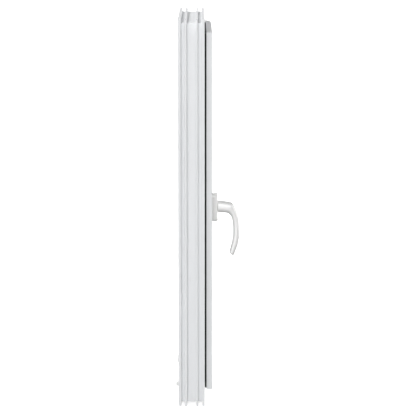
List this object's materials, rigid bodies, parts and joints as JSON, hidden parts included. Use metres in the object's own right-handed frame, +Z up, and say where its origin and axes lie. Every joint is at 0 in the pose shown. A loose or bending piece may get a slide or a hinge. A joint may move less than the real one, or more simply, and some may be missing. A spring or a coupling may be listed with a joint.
{
  "type": "casement window",
  "caption": "Inward-opening side-hung casement window with hollow plastic frame and sash, double glazing, hinges and a lever-driven lock.",
  "frame": {"origin": "middle of the frame's width, underside of the sill, in the plane of the frame's room face", "axes": "+Z up, +Y through the wall towards the weather side, +X towards the hinge side (right, seen from the room)"},
  "size_m": [0.58, 0.1718, 1.03],
  "materials": {
    "frame_upvc": "smooth white extruded profile",
    "sash_upvc": "smooth white extruded profile",
    "galvanised_steel": "galvanised, faint spangle",
    "seal_rubber": "black extruded rubber",
    "white_caps": "white moulded plastic",
    "zinc_plate": "silver zinc plating",
    "screw_steel": "bright zinc-plated steel",
    "grey_nylon": "grey moulded nylon",
    "diecast_zinc": "bare die-cast zinc",
    "handle_enamel": "white powder coat, satin",
    "clear_glass": "clear float glass",
    "spacer_aluminium": "mill aluminium with vent holes",
    "butyl_sealant": "dark sealant",
    "packer_plastic": "blue moulded plastic"
  },
  "bodies": {
    "frame": {"frame_sill": "frame_upvc", "frame_head": "frame_upvc", "frame_jamb_lock": "frame_upvc", "frame_jamb_hinge": "frame_upvc", "frame_steel_jambs": "galvanised_steel", "frame_steel_rails": "galvanised_steel", "frame_seal": "seal_rubber", "drain_caps": "white_caps", "lock_keeps": "zinc_plate", "keep_screws": "screw_steel", "run_up_block": "grey_nylon", "run_up_block_screws": "screw_steel", "bottom_hinge_bracket": "zinc_plate", "top_hinge_bracket": "zinc_plate", "hinge_bracket_screws": "screw_steel", "bottom_hinge_cover": "white_caps", "top_hinge_cover": "white_caps", "bottom_hinge_pin": "screw_steel", "top_hinge_pin": "screw_steel", "hinge_washer": "grey_nylon", "frame_hinge_sleeves": "white_caps"},
    "sash": {"sash_stile_lock": "sash_upvc", "sash_stile_hinge": "sash_upvc", "sash_bottom_rail": "sash_upvc", "sash_top_rail": "sash_upvc", "sash_steel_stiles": "galvanised_steel", "sash_steel_rails": "galvanised_steel", "sash_seal": "seal_rubber", "glazing_bead_lock": "sash_upvc", "glazing_bead_hinge": "sash_upvc", "glazing_bead_bottom": "sash_upvc", "glazing_bead_top": "sash_upvc", "glazing_seal_outer": "seal_rubber", "glazing_seal_inner": "seal_rubber", "outer_pane": "clear_glass", "inner_pane": "clear_glass", "spacer_bar": "spacer_aluminium", "edge_sealant": "butyl_sealant", "glazing_packers": "packer_plastic", "forend": "zinc_plate", "forend_screws": "screw_steel", "gearbox_case": "diecast_zinc", "gearbox_cover": "diecast_zinc", "bottom_hinge_arm": "zinc_plate", "top_hinge_arm": "zinc_plate", "hinge_arm_screws": "screw_steel", "sash_hinge_sleeves": "white_caps", "rosette_base": "grey_nylon", "rosette_cover": "white_caps", "rosette_screws": "screw_steel"},
    "handle": {"handle_lever": "handle_enamel", "handle_spindle": "screw_steel", "handle_bush": "grey_nylon", "gear_pinion": "zinc_plate"},
    "drive": {"drive_rod": "zinc_plate", "lock_cams": "zinc_plate"}
  },
  "joints": [
    {"name": "sash_turn", "type": "hinge", "parent": "frame", "child": "sash", "pos_m": [0.26, -0.011, 0], "axis": [0, 0, 1], "range_deg": [0, 90]},
    {"name": "handle_turn", "type": "hinge", "parent": "sash", "child": "handle", "pos_m": [-0.2155, 0, 0.527], "axis": [0, -1, 0], "range_deg": [0, 90]},
    {"name": "rod_slide", "type": "slide", "parent": "sash", "child": "drive", "axis": [0, 0, -1], "range_m": [0, 0.018]}
  ],
  "couplings": [
    {"joint": "rod_slide", "follows": "handle_turn", "m_per_rad": 0.011459}
  ]
}
